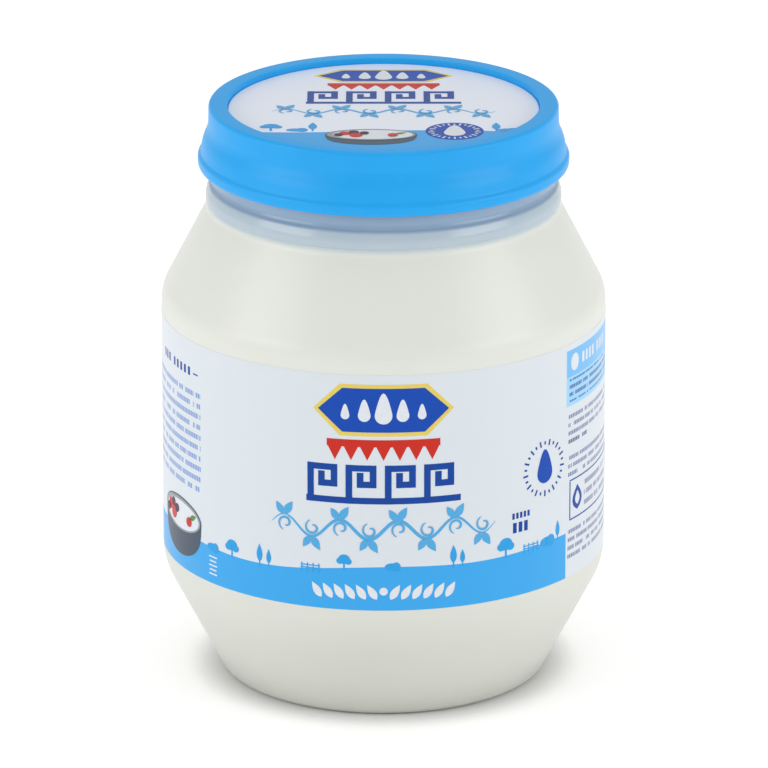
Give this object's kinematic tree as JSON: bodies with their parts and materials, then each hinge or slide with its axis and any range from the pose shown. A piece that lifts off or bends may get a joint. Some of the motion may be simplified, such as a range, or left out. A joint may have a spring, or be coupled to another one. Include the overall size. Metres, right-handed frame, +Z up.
{
  "type": "yoghurt tub",
  "caption": "Shut round plastic tub of yoghurt with sloped shoulder and foot, a blue flared lid, a wrap label and a printed disc in the lid.",
  "frame": {"origin": "centre of the foot ring, on the surface the tub stands on", "axes": "+Z up along the tub's axis; -Y is the front of the label; +X is to the right of the front"},
  "size_m": [0.1092, 0.1092, 0.1434],
  "materials": {
    "tub_plastic": "translucent natural plastic, satin",
    "yogurt": "smooth cream-white yoghurt seen through the tub's wall",
    "lid_plastic": "sky-blue moulded plastic, satin gloss",
    "label_film": null,
    "lid_print": null
  },
  "bodies": {
    "root": {"tub": "tub_plastic", "yogurt": "yogurt", "lid": "lid_plastic", "wrap_label": "label_film", "lid_label": "lid_print"}
  },
  "joints": []
}
